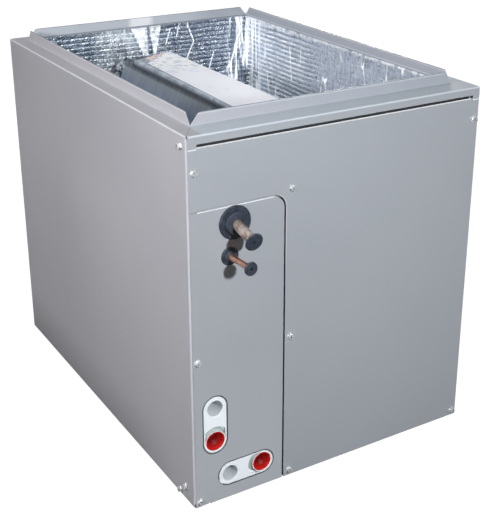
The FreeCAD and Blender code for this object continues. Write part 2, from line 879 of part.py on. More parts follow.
def on_slab(shape):
    """Moves a shape drawn upright, with its outer foot at the origin, onto the left slab."""
    placed = shape.copy()
    placed.rotate(Vector(0, 0, 0), Vector(0, 1, 0), math.degrees(lean))
    placed.translate(Vector(slab_foot[0], 0, slab_foot[1]))
    return placed


def row_place(row, step):
    """A tube's place across and along the slab. Row 0 is the outer row, and rows are staggered."""
    across = (slab_thickness - row_pitch) / 2 + row * row_pitch
    return across, tube_pitch * (step + 0.5 + row * 0.5)


def left_fin_pack():
    """The stacked fins, with their edges as ridges on both faces."""
    y = (front + coil_front + tube_sheet, front + coil_back - tube_sheet)
    count = int((y[1] - y[0]) // fin_ridge_pitch)
    spare = (y[1] - y[0] - (count - 1) * fin_ridge_pitch - fin_groove) / 2
    outer = [(0, y[0])]
    inner = [(slab_thickness, y[0])]
    for i in range(count):
        start = y[0] + spare + i * fin_ridge_pitch
        end = start + fin_groove
        for face, side, step in ((outer, 0, fin_groove_depth), (inner, slab_thickness, -fin_groove_depth)):
            face += [(side, start), (side + step, start), (side + step, end), (side, end)]
    outer.append((0, y[1]))
    inner.append((slab_thickness, y[1]))
    pack = plate(at_xy, outer + list(reversed(inner)), 0, slab_length)
    return on_slab(pack.cut(Part.makeCompound(tube_bores())))


def tube_bores():
    """The holes in the fins and the end plates that the tubes run through."""
    places = [row_place(row, step) for row in (0, 1) for step in range(tube_rows)]
    return [rod(Vector(a, front, b), Vector(a, back, b), tube_radius + tube_hole_gap) for a, b in places]


def left_tube_sheet(depth, eared):
    """An end plate of the slab. The rear one has an ear outside the coil's face."""
    points = [(0, 0), (slab_thickness, 0), (slab_thickness, slab_length), (0, slab_length)]
    if eared:
        shoulder = slab_length - tube_sheet_ear_slope
        points += [(-tube_sheet_ear, shoulder), (-tube_sheet_ear, tube_sheet_ear_start + tube_sheet_ear),
                   (0, tube_sheet_ear_start)]
    sheet_plate = plate(at_xz, points, front + depth, front + depth + tube_sheet)
    return on_slab(sheet_plate.cut(Part.makeCompound(tube_bores())))


def left_circuits():
    """Each circuit's tube: hairpins through the fins, joined by return bends at the front."""
    radius = math.hypot(row_pitch, tube_pitch / 2) / 2
    turn_back = front + coil_back + bend_stub + radius
    turn_front = front + coil_front - bend_stub - radius
    tubes = []
    for first in inlet_steps:
        points = [Vector(row_place(0, first)[0], front + coil_front, row_place(0, first)[1])]
        for step in range(first, first + circuit_split):
            for row in (0, 1):
                across, along = row_place(row, step)
                ends = (turn_front, turn_back) if row == 0 else (turn_back, turn_front)
                points += [Vector(across, y, along) for y in ends]
        del points[1]
        points[-1].y = front + coil_front
        tubes.append(bent_rod(points, tube_radius, radius))
    return on_slab(Part.makeCompound(tubes))


def slab_point(row, step, depth):
    """A point on a tube's axis at some depth from the front, on the left slab."""
    across, along = row_place(row, step)
    return Vector(slab_foot[0] + across * lean_in[0] + along * lean_up[0], front + depth,
                  slab_foot[1] + across * lean_in[1] + along * lean_up[1])


outlet_steps = [circuit_split * (i + 1) - 1 for i in range(tube_rows // circuit_split)]
inlet_steps = [circuit_split * i for i in range(tube_rows // circuit_split)]


def header_axis():
    """The left header's lower and upper end, in line with the inner row of tubes."""
    up = Vector(lean_up[0], 0, lean_up[1])
    low = slab_point(1, outlet_steps[0], header_depth) - up * header_overrun
    high = slab_point(1, outlet_steps[-1], header_depth) + up * header_overrun
    return low, high


def left_suction_header():
    low, high = header_axis()
    way = (high - low).normalize()
    pipe = rod(low, high, header_radius)
    stubs = [rod(slab_point(1, step, coil_front), slab_point(1, step, header_depth), tube_radius)
             for step in outlet_steps]
    bore = rod(low + way * header_wall, high - way * header_wall, header_radius - header_wall)
    return fuse([pipe] + stubs).cut(bore)


def apex_plate():
    """The cap over both slabs, with lips folded down their outer faces and one rear corner cut off."""
    rise = seat_gap + thin_sheet
    corner_x = apex_half_width + rise * (1 - lean_up[0]) / lean_up[1]
    top = apex_height + rise
    lip = (corner_x + apex_lip * lean_up[0], top - apex_lip * lean_up[1])
    y = (front + coil_front + tube_sheet, front + coil_back - tube_sheet)
    plain = folded_sheet(at_xz, [(-lip[0], lip[1]), (-corner_x, top), (corner_x, top), (lip[0], lip[1])],
                         y[0], y[1], thin_sheet, 1)
    cut = plate(at_xy, [(-lip[0] - 1, y[1] - apex_corner_cut), (lip[0] + 1, y[1] + 1),
                        (-lip[0] - 1, y[1] + 1)], 0, cabinet_height)
    return plain.cut(cut)


def delta_plate(depth):
    """The triangular sheet that closes one end of the A between the slabs."""
    gap = seat_gap / lean_up[1]
    inner_foot = (slab_foot[0] + slab_thickness * lean_in[0],
                  slab_foot[1] + slab_thickness * lean_in[1])
    inner_top_z = apex_height + slab_thickness * lean_in[1]
    top_x = -apex_half_width + slab_thickness * lean_in[0] + gap
    foot_x = inner_foot[0] + (delta_foot - inner_foot[1]) * lean_up[0] / lean_up[1] + gap
    points = [(foot_x, delta_foot), (-foot_x, delta_foot), (-top_x, inner_top_z), (top_x, inner_top_z)]
    return plate(at_xz, points, front + depth, front + depth + tube_sheet)


# Refrigerant pipes

suction_run_height = suction_height + suction_slope * suction_run_depth
suction_end = Vector(suction_x, front - suction_reach, suction_height - suction_drop)
suction_turn = Vector(suction_x, front + suction_run_depth, suction_run_height)
liquid_end = Vector(liquid_x, front - liquid_reach, liquid_height + liquid_rise)
liquid_turn = Vector(liquid_x, front + liquid_run_depth, liquid_height - liquid_slope * liquid_run_depth)
liquid_run_end = liquid_x + liquid_run


def header_at(height):
    """The left header's axis at some height."""
    low, high = header_axis()
    return low + (high - low) * ((height - low.z) / (high.z - low.z))


def suction_line():
    far = Vector(-header_at(suction_run_height).x + suction_run_past, suction_turn.y, suction_turn.z)
    points = [suction_end, suction_turn, far]
    outer = bent_rod(points, suction_radius, suction_bend)
    shortened = [suction_end - (suction_turn - suction_end).normalize(), suction_turn,
                 far - Vector(suction_wall * 2, 0, 0)]
    bore = bent_rod(shortened, suction_radius - suction_wall, suction_bend)
    low, high = header_axis()
    saddle = rod(low, high, header_radius + solder_gap)
    return outer.cut(Part.makeCompound([bore, saddle, mirrored(saddle)]))


def liquid_line():
    far = Vector(liquid_run_end, liquid_turn.y, liquid_turn.z)
    outer = bent_rod([liquid_end, liquid_turn, far], liquid_radius, liquid_bend)
    before = liquid_end - (liquid_turn - liquid_end).normalize()
    bore = bent_rod([before, liquid_turn, far + Vector(1, 0, 0)], liquid_radius - liquid_wall, liquid_bend)
    return outer.cut(bore)


def metering_body():
    """The hexagonal valve body with a round nut at each end."""
    along = Vector(1, 0, 0)
    start = Vector(liquid_run_end + lap_gap, liquid_turn.y, liquid_turn.z)
    middle = metering_length - 2 * metering_nut_length
    nut = rod(start, start + along * metering_length, metering_nut / 2)
    body = hexagon(start + along * metering_nut_length, along, metering_hex, middle)
    return fuse([nut, body])


def distributor():
    """The brass cone that splits the liquid between the feeders."""
    along = Vector(1, 0, 0)
    start = Vector(liquid_run_end + metering_length + 2 * lap_gap, liquid_turn.y, liquid_turn.z)
    cone_end = distributor_length - distributor_rim
    profile = [(0, 0), (0, distributor_small), (cone_end, distributor_large),
               (distributor_length, distributor_large), (distributor_length, 0)]
    return turned(profile, start, along)


def feeder_tubes():
    """One thin tube from the distributor to each circuit's lowest tube."""
    start_x = liquid_run_end + metering_length + distributor_length + 2 * lap_gap
    tubes = []
    for side in (-1, 1):
        for i, step in enumerate(inlet_steps):
            end = slab_point(0, step, coil_front)
            end = Vector(-side * end.x, end.y, end.z)
            high = feeder_ring * (1 if i else -1)
            start = Vector(start_x, liquid_turn.y + feeder_ring * side, liquid_turn.z + high)
            drop_x = start_x + feeder_drop + (feeder_side_step if side > 0 else 0) - i * feeder_circuit_step
            level = end.z + (0 if i else feeder_lift)
            points = [start, Vector(drop_x, start.y, start.z), Vector(drop_x, start.y, level)]
            if i:
                points.append(Vector(end.x, start.y, level))
            else:
                points.append(Vector(end.x - math.copysign(feeder_sweep, end.x), start.y, level))
                points.append(Vector(end.x, end.y - feeder_sweep, end.z))
            tubes.append(bent_rod(points + [end], feeder_radius, feeder_bend))
    return Part.makeCompound(tubes)


# Rubber parts


def grommet(x, height, radius, hub, rise, tube):
    """A rubber grommet: a lip each side of the panel, a neck in its hole and a raised hub in front."""
    neck = radius - grommet_neck_inset
    back_lip = radius - grommet_back_inset
    face = grommet_lip + rubber_gap
    behind = -sheet - rubber_gap
    profile = [(rise, 0), (rise, hub - grommet_chamfer), (rise - grommet_chamfer, hub), (face, hub),
               (face, radius - grommet_chamfer), (face - grommet_chamfer, radius), (rubber_gap, radius),
               (rubber_gap, neck), (behind, neck), (behind, back_lip), (behind - grommet_lip, back_lip),
               (behind - grommet_lip, 0)]
    return turned(profile, Vector(x, front, height), Vector(0, -1, 0)).cut(tube)


def end_plug(end, turn, tube_bore, flange_radius):
    """A rubber plug pushed into a tube's open end, with a small dimple in its face."""
    profile = [(-plug_body, 0), (-plug_body, tube_bore - rubber_gap), (rubber_gap, tube_bore - rubber_gap),
               (rubber_gap, tube_bore + plug_flare_inset), (rubber_gap + plug_flare, flange_radius),
               (plug_flange - plug_chamfer, flange_radius), (plug_flange, flange_radius - plug_chamfer),
               (plug_flange, plug_dimple), (0, plug_dimple), (0, 0)]
    return turned(profile, end, end - turn)


def suction_grommet():
    tube = rod(suction_end, suction_turn, suction_radius + rubber_gap)
    return grommet(suction_x, suction_height, suction_grommet_radius, suction_grommet_hub,
                   suction_grommet_height, tube)


def liquid_grommet():
    tube = rod(liquid_end, liquid_turn, liquid_radius + rubber_gap)
    return grommet(liquid_x, liquid_height, liquid_grommet_radius, liquid_grommet_hub,
                   liquid_grommet_height, tube)


os.makedirs("parts", exist_ok=True)

left_only = {
    "side_panel": left_side_panel(),
    "liner": left_liner(),
    "drain_trough": left_drain_trough(),
    "pan_rail": left_pan_rail(),
    "fin_pack": left_fin_pack(),
    "front_tube_sheet": left_tube_sheet(coil_front, False),
    "rear_tube_sheet": left_tube_sheet(coil_back - tube_sheet, True),
    "circuits": left_circuits(),
    "suction_header": left_suction_header(),
}
pieces = {
    "back_panel": back_panel(),
    "front_top_rail": front_top_rail(),
    "front_bottom_rail": front_bottom_rail(),
    "access_door": access_door(),
    "piping_panel": piping_panel(),
    "back_liner": back_liner(),
    "door_liner": door_liner(),
    "piping_panel_liner": piping_panel_liner(),
    "main_drain_pan": main_drain_pan(),
    "front_drain_trough": front_drain_trough(),
    "rear_drain_trough": rear_drain_trough(),
    "side_drain_pan": side_drain_pan(),
    "main_drain_plug": drain_plug("main"),
    "side_drain_plug": drain_plug("side"),
    "apex_plate": apex_plate(),
    "front_delta_plate": delta_plate(coil_front),
    "rear_delta_plate": delta_plate(coil_back - tube_sheet),
    "suction_line": suction_line(),
    "liquid_line": liquid_line(),
    "metering_body": metering_body(),
    "distributor": distributor(),
    "feeder_tubes": feeder_tubes(),
    "suction_grommet": suction_grommet(),
    "liquid_grommet": liquid_grommet(),
    "suction_plug": end_plug(suction_end, suction_turn, suction_radius - suction_wall, suction_plug_radius),
    "liquid_plug": end_plug(liquid_end, liquid_turn, liquid_radius - liquid_wall, liquid_plug_radius),
    "front_screws": Part.makeCompound([screw(p, n) for p, n in front_screws()]),
    "side_screws": Part.makeCompound([screw(p, n) for s in (-1, 1) for p, n in side_screws(s)]),
    "back_screws": Part.makeCompound([screw(p, n) for p, n in back_screws()]),
}
for name, shape in left_only.items():
    pieces["left_" + name] = shape
    pieces["right_" + name] = mirrored(shape)
for name, shape in pieces.items():
    shape.exportStep("parts/" + name + ".step")
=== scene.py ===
import math

import bpy
from mathutils import Matrix, Vector


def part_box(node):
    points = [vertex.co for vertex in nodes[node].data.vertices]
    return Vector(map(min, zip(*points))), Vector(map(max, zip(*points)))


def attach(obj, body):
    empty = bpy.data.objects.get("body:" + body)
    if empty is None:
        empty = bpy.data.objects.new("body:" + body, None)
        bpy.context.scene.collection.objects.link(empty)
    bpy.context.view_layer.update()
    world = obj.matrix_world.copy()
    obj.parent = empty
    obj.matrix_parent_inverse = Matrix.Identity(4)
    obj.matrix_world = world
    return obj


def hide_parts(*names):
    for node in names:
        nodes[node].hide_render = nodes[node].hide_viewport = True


# A cased evaporator coil, photographed from the front left: a grey folded steel cabinet
# with a foil-lined open top, capped refrigerant pipes and red drain plugs.
# Metres. +Z is up and the front faces -Y.

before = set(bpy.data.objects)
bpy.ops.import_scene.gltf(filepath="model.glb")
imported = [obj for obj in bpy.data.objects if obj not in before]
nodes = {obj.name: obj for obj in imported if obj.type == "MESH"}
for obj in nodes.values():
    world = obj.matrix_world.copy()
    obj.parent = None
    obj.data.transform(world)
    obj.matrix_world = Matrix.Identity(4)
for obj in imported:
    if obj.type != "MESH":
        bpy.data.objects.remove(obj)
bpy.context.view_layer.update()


# Places on the cabinet

panel_low, panel_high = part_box("piping_panel")
door_low, door_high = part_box("access_door")
rail_low, rail_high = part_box("front_top_rail")
apex_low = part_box("apex_plate")[0]
left_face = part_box("left_side_panel")[0].x
front_face = door_low.y
flange_top = rail_high.z
ledge_top = 0.610
seam_round = 0.020
shelf_level = 0.5905
slot_top = 0.5972
slot_half_width = 0.2508
port_block = 0.0199
port_half_spacing = 0.0293


def centre_of(node):
    """The middle of a CAD node's box."""
    return sum(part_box(node), Vector()) / 2


def port_frames(x, z):
    """For each port block, the place across it and its centre's, the place along it and its middle's, and
    the side of the middle that its plug is on."""
    main_plug = centre_of("main_drain_plug")
    side_plug = centre_of("side_drain_plug")
    main_block = (z, main_plug.z, x, main_plug.x - port_half_spacing, 1)
    side_block = (x, side_plug.x, z, side_plug.z + port_half_spacing, -1)
    return main_block, side_block


# Nodes of a material

white = (1.0, 1.0, 1.0)
sharp = 0.0003

# The Mix node's sockets for colours, whose names its sockets for numbers have too
mix_inputs = (0, 6, 7)
mix_output = 2


class Tree:
    """A node tree, with short names for its steps. A value is a number, a colour or a node's output."""

    def __init__(self, tree):
        self.tree = tree

    def node(self, kind, **values):
        made = self.tree.nodes.new(kind)
        for key, value in values.items():
            setattr(made, key, value)
        return made

    def put(self, value, target):
        """Gives one input of a node its value."""
        if isinstance(value, bpy.types.NodeSocket):
            self.tree.links.new(value, target)
        elif target.type == "RGBA":
            target.default_value = (*value, 1)
        else:
            target.default_value = value

    def feed(self, made, **inputs):
        """Gives a node's inputs their values, by their names with low lines for spaces."""
        for key, value in inputs.items():
            self.put(value, made.inputs[key.replace("_", " ")])
        return made

    def math(self, operation, a, b=0.0):
        made = self.node("ShaderNodeMath", operation=operation)
        for value, target in zip((a, b), made.inputs):
            self.put(value, target)
        return made.outputs["Value"]

    def plus(self, a, b):
        return self.math("ADD", a, b)

    def minus(self, a, b):
        return self.math("SUBTRACT", a, b)

    def chain(self, operation, values):
        total = values[0]
        for value in values[1:]:
            total = self.math(operation, total, value)
        return total

    def product(self, *values):
        return self.chain("MULTIPLY", values)

    def most(self, *values):
        """The largest of several values."""
        return self.chain("MAXIMUM", values)


class Shader(Tree):
    """A material's node tree, called s in the recipes. A mask is a value from zero to one that follows the
    place on the object, and a range is the place where a mask is zero, then the place where it is one."""

    def __init__(self, name, roughness, metallic=0.0, colour=(0.8, 0.8, 0.8)):
        self.material = bpy.data.materials.new(name)
        self.material.use_nodes = True
        super().__init__(self.material.node_tree)
        self.main = self.tree.nodes["Principled BSDF"]
        self.feed(self.main, Base_Color=colour, Roughness=roughness, Metallic=metallic)
        self.place = self.node("ShaderNodeTexCoord").outputs["Object"]
        self.x, self.y, self.z = self.parts(self.place)

    def parts(self, vector):
        """The X, Y and Z of a vector."""
        return list(self.feed(self.node("ShaderNodeSeparateXYZ"), Vector=vector).outputs)

    def facing(self, axis):
        """How far the surface faces along an axis, from minus one to one."""
        normal = self.node("ShaderNodeNewGeometry").outputs["Normal"]
        return self.parts(normal)["XYZ".index(axis)]

    def texture_place(self, scale):
        """The place and the scale for a texture, where three scales stretch it along the axes."""
        if not isinstance(scale, tuple):
            return {"Vector": self.place, "Scale": scale}
        stretched = self.feed(self.node("ShaderNodeMapping"), Vector=self.place, Scale=scale)
        return {"Vector": stretched.outputs["Vector"], "Scale": 1.0}

    def noise(self, scale, detail=3.0, roughness=0.5, distortion=0.0):
        made = self.feed(self.node("ShaderNodeTexNoise"), Detail=detail, Roughness=roughness,
                         Distortion=distortion, **self.texture_place(scale))
        return made.outputs["Fac"]

    def cells(self, scale, feature="F1"):
        made = self.feed(self.node("ShaderNodeTexVoronoi", feature=feature), **self.texture_place(scale))
        return made.outputs["Distance"]

    def ramp(self, value, *stops):
        """A colour that runs through (position, colour) stops as the value grows."""
        made = self.feed(self.node("ShaderNodeValToRGB"), Fac=value)
        elements = made.color_ramp.elements
        while len(elements) < len(stops):
            elements.new(0.5)
        for element, (position, colour) in zip(elements, stops):
            element.position = position
            element.color = (*colour, 1)
        return made.outputs["Color"]

    def between(self, value, low, high, to_low=0.0, to_high=1.0):
        """A value moved from one range to another and held at its ends."""
        made = self.feed(self.node("ShaderNodeMapRange"), Value=value, From_Min=low, From_Max=high,
                         To_Min=to_low, To_Max=to_high)
        return made.outputs["Result"]

    def switched(self, share, off, on):
        """A number that runs from off to on as share grows from zero to one."""
        return self.between(share, 0.0, 1.0, off, on)

    def band(self, value, centre, half, soft=sharp):
        """One within half of the centre, falling to zero over the soft width beyond it."""
        away = self.math("ABSOLUTE", self.minus(value, centre))
        return self.between(away, half + soft, half)

    def flecks(self, scale, low, high, detail=3.0, roughness=0.5, weak=0.0, strong=1.0):
        """A mask that grows from weak to strong as a noise does from low to high."""
        return self.between(self.noise(scale, detail, roughness), low, high, weak, strong)

    def where(self, **ranges):
        """A mask with a range along each axis that is named."""
        return self.product(*[self.between(getattr(self, axis), *span) for axis, span in ranges.items()])

    def near(self, **bands):
        """A mask with a band along each axis that is named, as its centre, half width and softness."""
        return self.product(*[self.band(getattr(self, axis), *span) for axis, span in bands.items()])

    def distance(self, a, b):
        """The length of a step with the sides a and b."""
        return self.math("POWER", self.plus(self.product(a, a), self.product(b, b)), 0.5)

    def from_block(self, across, centre, along, middle):
        """The distance from the line that joins the centres of a port block's two round ends."""
        past = self.minus(self.math("ABSOLUTE", self.minus(along, middle)), port_half_spacing)
        return self.distance(self.most(past, 0.0), self.minus(across, centre))

    def drawn(self, across, along, points, half, soft=0.0012, end_soft=0.0005):
        """A broken line through points that are given as (across, along), from the top down."""
        parts = []
        for (top_across, top), (foot_across, foot) in zip(points, points[1:]):
            centre = self.between(along, foot, top, foot_across, top_across)
            parts.append(self.product(self.band(self.minus(across, centre), 0.0, half, soft),
                                      self.band(along, (top + foot) / 2, (top - foot) / 2, end_soft)))
        return self.most(*parts)

    def mix(self, share, a, b):
        """Colour a, and colour b where share is one."""
        made = self.node("ShaderNodeMix", data_type="RGBA")
        for index, value in zip(mix_inputs, (share, a, b)):
            self.put(value, made.inputs[index])
        return made.outputs[mix_output]

    def layered(self, colour, layers):
        """A colour under others, each given as its mask, the share of it that shows and its colour."""
        for mask, share, over in layers:
            colour = self.mix(self.product(mask, share), colour, over)
        return colour

    def bump(self, height, distance, strength, over=None):
        """The surface's direction with a height's slopes in it, over those of another bump."""
        made = self.feed(self.node("ShaderNodeBump"), Height=height, Distance=distance, Strength=strength)
        if over is not None:
            self.feed(made, Normal=over)
        return made.outputs["Normal"]


# Cabinet paint

# Strength of the glow that paints a highlight on the shelf under the top rail's slot
painted_shelf_glow = 0.55
front_sheets = (front_face + 0.0048, front_face + 0.0046)
left_wall = (left_face + 0.0007, left_face + 0.0003)
above_ledge = (ledge_top + 0.0004, ledge_top + 0.0010)
at_ledge = (ledge_top - 0.002, ledge_top - 0.001)
front_flange = (-0.3140, -0.3170)
back_flange = (0.320, 0.325)
right_flange = (0.230, 0.235)
front_ledge = (-0.3165, -0.3185)
right_ledge = (0.2385, 0.2405)
left_ledge = (-0.2405, -0.2410)
facing_back = (-0.8, -0.9)
facing_up = (0.9, 0.95)
seam_side = (0.006, 0.012)
seam_streak = (0.36, 0.42)
top_line_start = (panel_low.x + 0.0118, panel_low.x + 0.0124)
lip_face = (front_face + 0.0020, front_face + 0.0016)
hole_edge = (port_block + 0.0026, port_block + 0.0021)
left_fold_reach = (0.0021, 0.0017)
front_fold_reach = (0.0023, 0.0019)
side_folds = (0.2644, 0.2647)
rim_edge = (flange_top - 0.0010, flange_top - 0.0007)
above_panel = (panel_high.z - 0.01, panel_high.z + 0.01)


def painted_wall_shading(s, at_front):
    """Painted light and shade on the piping panel's foot and the left wall: a paler panel foot and far end,
    a darker middle top and left foot.
    """
    on_left = s.where(x=left_wall)
    panel_foot = s.product(at_front, s.where(x=(panel_high.x, panel_high.x - 0.001), z=(0.26, 0.06)))
    far_end = s.product(on_left, s.where(y=(0.15, 0.33), z=(0.58, 0.45)))
    middle_top = s.product(on_left, s.near(y=(-0.03, 0.06, 0.20)), s.where(z=(0.42, 0.57)))
    left_foot = s.product(on_left, s.where(y=(-0.30, -0.15), z=(0.09, 0.0)))
    return [
        (panel_foot, 0.65, (0.44, 0.45, 0.48)),
        (far_end, 1.0, (0.40, 0.405, 0.435)),
        (middle_top, 0.7, (0.30, 0.305, 0.33)),
        (left_foot, 0.7, (0.22, 0.225, 0.24)),
    ]


def painted_flange_shading(s):
    """Painted light and shade on the duct flange: slightly paler than the walls, a front that darkens to the
    right, a painted highlight along the rim, inner faces at the back and right painted paler, the back
    darker towards its right end, with a painted gleam on the back, a painted light line on the right and
    painted shade at their feet.
    """
    flange = s.where(z=above_ledge)
    front = s.product(flange, s.where(y=front_flange))
    rim = s.near(z=(flange_top - 0.0022, 0.0009))
    back = s.product(flange, s.where(y=back_flange), s.between(s.facing("Y"), *facing_back))
    right = s.product(flange, s.where(x=right_flange), s.between(s.facing("X"), *facing_back))
    back_end = s.product(back, s.where(x=(0.11, 0.16)))
    back_gleam = s.product(back, s.near(x=(-0.006, 0.018, 0.012)))
    back_foot = s.product(back, s.where(z=(ledge_top + 0.0030, ledge_top + 0.0022)))
    right_line = s.product(right, s.where(z=(ledge_top + 0.0042, ledge_top + 0.0034)))
    right_foot = s.product(right, s.where(z=(ledge_top + 0.0016, ledge_top + 0.0010)))
    return [
        (flange, 1.0, s.mix(s.where(x=(0.20, 0.23)), (0.375, 0.375, 0.405), (0.35, 0.373, 0.42))),
        (front, 1.0, s.mix(s.where(x=(-0.20, 0.25)), (0.39, 0.385, 0.42), (0.325, 0.34, 0.378))),
        (rim, 0.7, (0.52, 0.53, 0.56)),
        (back, 1.0, (0.425, 0.45, 0.49)),
        (back_end, 1.0, (0.36, 0.38, 0.42)),
        (back_gleam, 1.0, (0.70, 0.69, 0.73)),
        (back_foot, 1.0, (0.22, 0.24, 0.27)),
        (right_line, 1.0, (0.47, 0.52, 0.58)),
        (right_foot, 1.0, (0.24, 0.27, 0.31)),
    ]


def painted_ledge_shading(s):
    """Painted light on the ledge round the flange: lighter and bluer at the front and on the right, darker
    on the left.
    """
    flat = s.product(s.between(s.facing("Z"), *facing_up), s.where(z=at_ledge))
    front_or_right = s.product(flat, s.most(s.where(x=right_ledge), s.where(y=front_ledge)))
    left = s.product(flat, s.where(x=left_ledge))
    return [
        (front_or_right, 1.0, (0.375, 0.41, 0.45)),
        (left, 1.0, (0.315, 0.317, 0.342)),
    ]


def painted_fold_shading(s, at_front):
    """Painted shade along the flange's upper edge, and painted highlights on the folds along the ledge and
    down the front's sides.
    """
    from_top = s.minus(s.z, ledge_top)
    left_fold = s.between(s.distance(s.minus(s.x, left_face), from_top), *left_fold_reach)
    front_fold = s.between(s.distance(s.minus(s.y, rail_low.y), from_top), *front_fold_reach)
    side_fold = s.product(at_front, s.between(s.math("ABSOLUTE", s.x), *side_folds))
    return [
        (s.where(z=rim_edge), 0.8, (0.16, 0.18, 0.21)),
        (left_fold, 1.0, (0.45, 0.45, 0.48)),
        (front_fold, 1.0, (0.50, 0.53, 0.58)),
        (side_fold, 1.0, s.mix(s.where(z=above_panel), (0.45, 0.44, 0.48), (0.43, 0.42, 0.46))),
    ]


def painted_seam_light(s, at_front):
    """A painted highlight along the piping panel's top, painted shade in the gap down its side and a painted
    light streak beside that.
    """
    across = s.most(s.minus(s.x, panel_high.x - seam_round), 0.0)
    above = s.most(s.minus(s.z, panel_high.z - seam_round), 0.0)
    reach = s.distance(across, above)
    down_side = s.product(at_front, s.between(across, *seam_side))
    top_line = s.product(at_front, s.band(reach, seam_round - 0.0003, half=0.0008, soft=0.0004),
                         s.where(x=top_line_start), s.between(across, 0.004, 0.0))
    gap = s.product(down_side, s.band(reach, seam_round - 0.0001, half=0.0015, soft=0.0002))
    streak = s.product(down_side, s.band(reach, seam_round + 0.0021, half=0.0006), s.where(z=seam_streak))
    return top_line, gap, streak


def painted_slot_light(s, at_front):
    """Painted highlights on the shelf under the top rail's slot and on the line past the slot's ends, and
    painted shade inside the slot.
    """
    along = s.near(x=(0.0, slot_half_width))
    shelf_edge = s.product(along, s.near(z=(shelf_level, 0.0012), y=(front_face + 0.0036, 0.0023)))
    past_slot = s.product(at_front, s.switched(along, off=1.0, on=0.0),
                          s.near(z=(shelf_level - 0.0006, 0.0008), x=(0.0, door_high.x - 0.0006, 0.0004)))
    inside = s.product(along, s.near(z=(shelf_level + 0.003, 0.0045), y=(front_face + 0.030, 0.0238)))
    lip_foot = s.product(at_front, along, s.near(z=(slot_top - 0.0012, 0.0009)), s.where(y=lip_face))
    return shelf_edge, past_slot, s.most(inside, lip_foot)


def port_edge_shade(s, at_front):
    """Painted shade on the panel's edge round both port blocks."""
    edges = [s.between(s.from_block(*block[:4]), *hole_edge) for block in port_frames(s.x, s.z)]
    return s.product(at_front, s.most(*edges))


def paint():
    """Satin grey paint with painted light and shade: lighter or darker by place, painted highlights along
    its folds and edges, and painted shade inside its gaps.
    """
    s = Shader("cabinet_paint", roughness=0.42)
    at_front = s.where(y=front_sheets)
    top_line, seam_gap, streak = painted_seam_light(s, at_front)
    shelf_edge, past_slot, in_slot = painted_slot_light(s, at_front)
    # Painted shade round the port blocks, in the seam gap and in the slot, a painted light streak, and
    # painted highlights on the panel's top line and the shelf
    gaps = [
        (port_edge_shade(s, at_front), 0.8, (0.05, 0.06, 0.07)),
        (s.most(seam_gap, in_slot), 1.0, (0.02, 0.022, 0.026)),
        (streak, 1.0, (0.50, 0.50, 0.53)),
        (s.most(top_line, shelf_edge, past_slot), 1.0, (0.76, 0.76, 0.79)),
    ]
    grey = s.ramp(s.noise(3.0, detail=4.0), (0.35, (0.345, 0.352, 0.378)), (0.65, (0.362, 0.369, 0.395)))
    grey = s.layered(grey, painted_wall_shading(s, at_front) + painted_flange_shading(s) + painted_ledge_shading(s))
    grey = s.layered(grey, painted_fold_shading(s, at_front) + gaps)
    # The shelf edge also glows a little, as a painted highlight
    s.feed(s.main, Base_Color=grey, Specular_IOR_Level=0.42,
           Roughness=s.flecks(9.0, 0.3, 0.7, weak=0.38, strong=0.47),
           Normal=s.bump(s.noise(900.0, detail=2.0), distance=0.0001, strength=0.25),
           Emission_Color=white, Emission_Strength=s.product(shelf_edge, painted_shelf_glow))
    return s.material


# Coil sheets

zinc_grey = (0.60, 0.63, 0.67)
spangle_depth = 0.86
ridge_front = -0.108
ridge_rear = 0.243
ridge_inset = 0.0055
ridge_rear_inset = 0.0150
cut_x = -0.037
cut_slope = 0.79
cut_soft = 0.003
copper_start = (-0.028, -0.016)
spot_place = (0.001, -0.002)
spot_radius = (0.008, 0.004)
# Strength of the faint glow that paints light on the apex plate
painted_apex_glow = 0.12
mottled_end = (0.13, 0.22)
dented_end = (0.12, 0.17)
worn_streak = (-0.030, 0.012, 0.010)
ridge_strip = (0.0016, 0.0006)
apex_rim = (apex_low.x + 0.0018, apex_low.x + 0.0012)
lit_fins = (0.515, 0.545)
shaded_fins = (0.5400, 0.5435)


def galvanised():
    """Bare zinc-coated sheet with a soft patchy spangle."""
    s = Shader("galvanised", roughness=0.38, metallic=0.85)
    clouds = s.noise(9.0, detail=4.0)
    dark = tuple(part * spangle_depth for part in zinc_grey)
    spangle = s.ramp(s.cells(70.0), (0.0, dark), (0.9, zinc_grey))
    s.feed(s.main, Base_Color=s.mix(clouds, spangle, zinc_grey),
           Roughness=s.between(clouds, 0.3, 0.7, to_low=0.30, to_high=0.48),
           Normal=s.bump(s.noise(14.0), distance=0.002, strength=0.35))
    return s.material


def apex_wear(s):
    """The apex plate's mottles and dents towards its rear, a worn streak and a round spot."""
    mottles = s.product(s.where(y=mottled_end), s.flecks(60.0, 0.42, 0.56, detail=4.0, roughness=0.65))
    dents = s.product(s.where(y=dented_end), s.flecks(85.0, 0.47, 0.56, detail=4.0, roughness=0.7))
    worn = s.product(s.near(x=worn_streak), s.flecks(90.0, 0.50, 0.60, detail=4.0, roughness=0.7))
    from_spot = s.distance(s.minus(s.x, spot_place[0]), s.minus(s.y, spot_place[1]))
    return [
        (mottles, 1.0, (1.0, 0.98, 0.93)),
        (dents, 0.8, (0.50, 0.57, 0.63)),
        (worn, 0.2, (0.50, 0.56, 0.62)),
        (s.between(from_spot, *spot_radius), 0.35, (0.50, 0.54, 0.58)),
    ]


